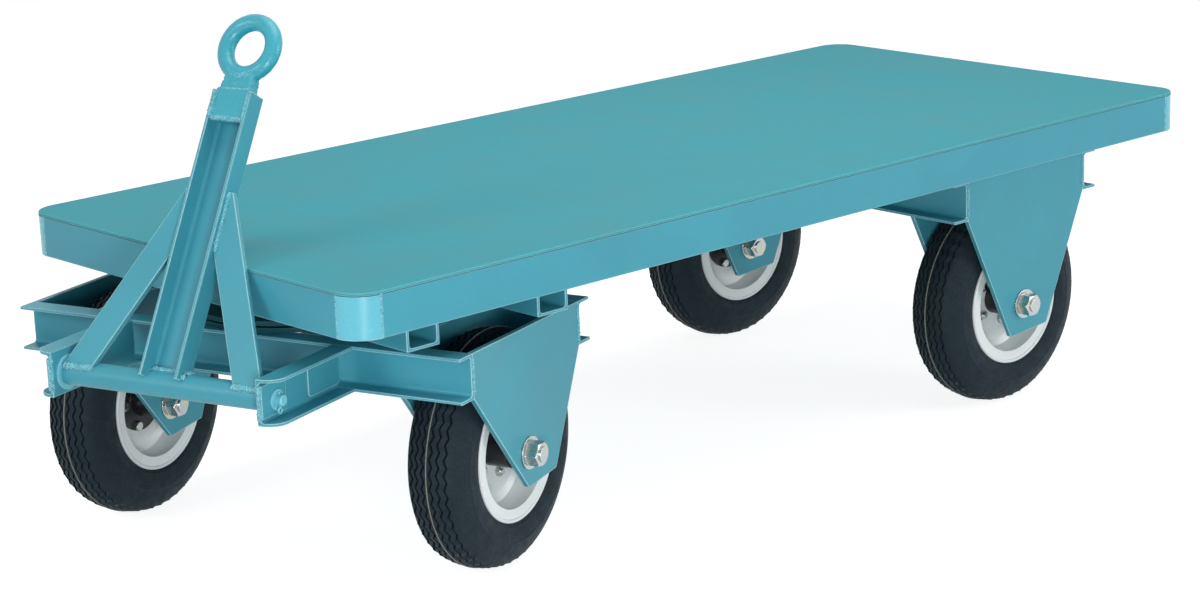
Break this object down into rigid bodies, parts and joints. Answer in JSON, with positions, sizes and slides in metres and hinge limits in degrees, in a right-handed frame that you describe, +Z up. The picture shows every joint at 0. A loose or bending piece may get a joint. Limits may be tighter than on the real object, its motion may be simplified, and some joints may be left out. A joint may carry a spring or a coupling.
{
  "type": "tow trailer cart",
  "caption": "Low steel platform cart on pneumatic wheels, with a turntable-steered front truck and a hinged ring-eye drawbar.",
  "frame": {"origin": "on the floor, in the middle of the overall box of the cart as it stands", "axes": "+Z up; +Y along the deck from the drawbar end to the rear; +X across the deck towards the side where the axle nuts stand out"},
  "size_m": [0.9728, 2.3178, 0.924],
  "materials": {
    "frame_paint": "semi-gloss blue-green enamel",
    "deck_paint": "satin blue-green enamel",
    "turntable_paint": "dark blue-green enamel",
    "tyre_rubber": "black rubber",
    "white_rim": "gloss white",
    "black_hub": "gloss black",
    "zinc_plate": "zinc plated",
    "hinge_steel": "painted steel",
    "bearing_steel": "ground steel",
    "bronze": "oiled bronze",
    "wear_plastic": "black wear ring"
  },
  "bodies": {
    "root": {"bolster_channels": "frame_paint", "deck_corners": "frame_paint", "deck_cross_members": "frame_paint", "deck_plate": "deck_paint", "deck_stringers": "frame_paint", "end_rails": "frame_paint", "kingpin": "hinge_steel", "kingpin_nut": "zinc_plate", "rear_axle_bolts": "zinc_plate", "rear_axle_channel_front": "frame_paint", "rear_axle_channel_rear": "frame_paint", "rear_axle_nuts": "zinc_plate", "rear_axle_spacers": "bearing_steel", "rear_wheel_plates": "frame_paint", "side_rails": "frame_paint", "turntable_upper_plate": "turntable_paint"},
    "truck": {"wear_ring": "wear_plastic", "turntable_lower_plate": "turntable_paint", "truck_channel_front": "frame_paint", "truck_channel_rear": "frame_paint", "truck_rails": "frame_paint", "front_wheel_plates": "frame_paint", "front_axle_bolts": "zinc_plate", "front_axle_nuts": "zinc_plate", "front_axle_spacers": "bearing_steel", "drawbar_ear_left": "frame_paint", "drawbar_ear_right": "frame_paint", "ear_plates": "frame_paint", "hinge_pin": "hinge_steel", "hinge_washers": "hinge_steel"},
    "drawbar": {"pivot_tube": "frame_paint", "pivot_bushings": "bronze", "tongue_channel": "frame_paint", "brace_left": "frame_paint", "brace_right": "frame_paint", "lunette_eye": "frame_paint"},
    "wheel_front_left": {"front_left_bearings": "bearing_steel", "front_left_hub": "black_hub", "front_left_rim_bolts": "zinc_plate", "front_left_rim_inner": "white_rim", "front_left_rim_outer": "white_rim", "front_left_tyre": "tyre_rubber"},
    "wheel_front_right": {"front_right_bearings": "bearing_steel", "front_right_hub": "black_hub", "front_right_rim_bolts": "zinc_plate", "front_right_rim_inner": "white_rim", "front_right_rim_outer": "white_rim", "front_right_tyre": "tyre_rubber"},
    "wheel_rear_left": {"rear_left_bearings": "bearing_steel", "rear_left_hub": "black_hub", "rear_left_rim_bolts": "zinc_plate", "rear_left_rim_inner": "white_rim", "rear_left_rim_outer": "white_rim", "rear_left_tyre": "tyre_rubber"},
    "wheel_rear_right": {"rear_right_bearings": "bearing_steel", "rear_right_hub": "black_hub", "rear_right_rim_bolts": "zinc_plate", "rear_right_rim_inner": "white_rim", "rear_right_rim_outer": "white_rim", "rear_right_tyre": "tyre_rubber"}
  },
  "joints": [
    {"name": "truck_steer", "type": "hinge", "parent": "root", "child": "truck", "pos_m": [0, -0.68463, 0.42], "axis": [0, 0, 1], "range_deg": [-37, 0]},
    {"name": "drawbar_hinge", "type": "hinge", "parent": "truck", "child": "drawbar", "pos_m": [0.12216, -1.04973, 0.374], "axis": [0.9483, 0.3173, 0], "range_deg": [0, 154]},
    {"name": "front_left_spin", "type": "hinge", "parent": "truck", "child": "wheel_front_left", "pos_m": [0.35152, -0.57545, 0.203], "axis": [0.9483, 0.3173, 0], "continuous": true},
    {"name": "front_right_spin", "type": "hinge", "parent": "truck", "child": "wheel_front_right", "pos_m": [-0.34645, -0.80898, 0.203], "axis": [0.9483, 0.3173, 0], "continuous": true},
    {"name": "rear_left_spin", "type": "hinge", "parent": "root", "child": "wheel_rear_left", "pos_m": [0.368, 0.70137, 0.203], "axis": [1, 0, 0], "continuous": true},
    {"name": "rear_right_spin", "type": "hinge", "parent": "root", "child": "wheel_rear_right", "pos_m": [-0.368, 0.70137, 0.203], "axis": [1, 0, 0], "continuous": true}
  ]
}
